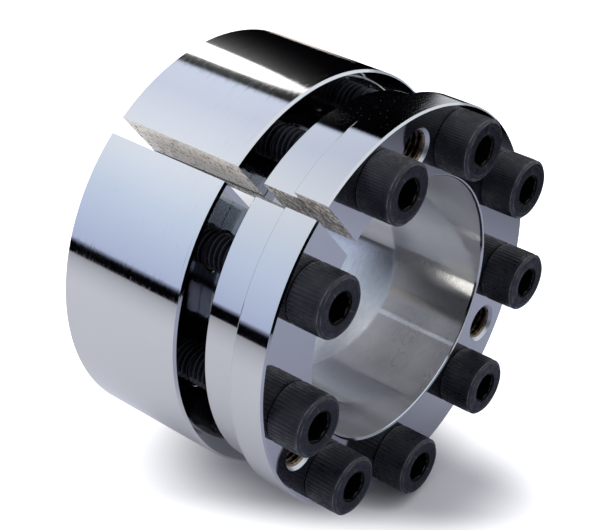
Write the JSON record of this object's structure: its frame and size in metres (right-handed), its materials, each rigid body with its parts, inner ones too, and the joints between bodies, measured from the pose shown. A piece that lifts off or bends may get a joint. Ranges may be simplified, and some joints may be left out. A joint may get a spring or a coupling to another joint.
{
  "type": "shaft locking assembly",
  "caption": "Keyless shaft locking assembly: slit tapered sleeve with a flange, slit spacer ring and slit outer ring with a conical bore, drawn together by a circle of socket head cap screws.",
  "frame": {"origin": "On the shaft axis at the rear face of the outer ring and of the tapered sleeve, where the part stands.", "axes": "+Z runs along the shaft axis from the rear face to the screw heads. The slits of all three rings are on +X, midway between two screws."},
  "size_m": [0.09, 0.09, 0.0622],
  "materials": {
    "sleeve_steel": "fine turned bright steel, polished flange face",
    "spacer_steel": "fine turned bright steel",
    "outer_ring_steel": "fine turned bright steel, polished end face",
    "black_screw": "satin black oxide"
  },
  "bodies": {
    "sleeve": {"inner_ring": "sleeve_steel", "spacer_ring": "spacer_steel"},
    "outer_ring": {"outer_ring": "outer_ring_steel"},
    "screw_1": {"clamp_screw_1": "black_screw"},
    "screw_2": {"clamp_screw_2": "black_screw"},
    "screw_3": {"clamp_screw_3": "black_screw"},
    "screw_4": {"clamp_screw_4": "black_screw"},
    "screw_5": {"clamp_screw_5": "black_screw"},
    "screw_6": {"clamp_screw_6": "black_screw"},
    "screw_7": {"clamp_screw_7": "black_screw"},
    "screw_8": {"clamp_screw_8": "black_screw"},
    "screw_9": {"clamp_screw_9": "black_screw"}
  },
  "joints": [
    {"name": "draw_in", "type": "slide", "parent": "sleeve", "child": "outer_ring", "axis": [0, 0, 1], "range_m": [0, 0.0025]},
    {"name": "screw_turn_1", "type": "hinge", "parent": "sleeve", "child": "screw_1", "pos_m": [0.03499, 0.01274, 0.0542], "axis": [0, 0, 1], "range_deg": [-720, 0]},
    {"name": "screw_turn_2", "type": "hinge", "parent": "sleeve", "child": "screw_2", "pos_m": [0.01862, 0.03225, 0.0542], "axis": [0, 0, 1], "range_deg": [-720, 0]},
    {"name": "screw_turn_3", "type": "hinge", "parent": "sleeve", "child": "screw_3", "pos_m": [-0.00647, 0.03667, 0.0542], "axis": [0, 0, 1], "range_deg": [-720, 0]},
    {"name": "screw_turn_4", "type": "hinge", "parent": "sleeve", "child": "screw_4", "pos_m": [-0.02853, 0.02394, 0.0542], "axis": [0, 0, 1], "range_deg": [-720, 0]},
    {"name": "screw_turn_5", "type": "hinge", "parent": "sleeve", "child": "screw_5", "pos_m": [-0.03724, 0, 0.0542], "axis": [0, 0, 1], "range_deg": [-720, 0]},
    {"name": "screw_turn_6", "type": "hinge", "parent": "sleeve", "child": "screw_6", "pos_m": [-0.02853, -0.02394, 0.0542], "axis": [0, 0, 1], "range_deg": [-720, 0]},
    {"name": "screw_turn_7", "type": "hinge", "parent": "sleeve", "child": "screw_7", "pos_m": [-0.00647, -0.03667, 0.0542], "axis": [0, 0, 1], "range_deg": [-720, 0]},
    {"name": "screw_turn_8", "type": "hinge", "parent": "sleeve", "child": "screw_8", "pos_m": [0.01862, -0.03225, 0.0542], "axis": [0, 0, 1], "range_deg": [-720, 0]},
    {"name": "screw_turn_9", "type": "hinge", "parent": "sleeve", "child": "screw_9", "pos_m": [0.03499, -0.01274, 0.0542], "axis": [0, 0, 1], "range_deg": [-720, 0]}
  ],
  "couplings": [
    {"joint": "screw_turn_1", "follows": "draw_in", "rad_per_m": -5026.5},
    {"joint": "screw_turn_2", "follows": "draw_in", "rad_per_m": -5026.5},
    {"joint": "screw_turn_3", "follows": "draw_in", "rad_per_m": -5026.5},
    {"joint": "screw_turn_4", "follows": "draw_in", "rad_per_m": -5026.5},
    {"joint": "screw_turn_5", "follows": "draw_in", "rad_per_m": -5026.5},
    {"joint": "screw_turn_6", "follows": "draw_in", "rad_per_m": -5026.5},
    {"joint": "screw_turn_7", "follows": "draw_in", "rad_per_m": -5026.5},
    {"joint": "screw_turn_8", "follows": "draw_in", "rad_per_m": -5026.5},
    {"joint": "screw_turn_9", "follows": "draw_in", "rad_per_m": -5026.5}
  ]
}
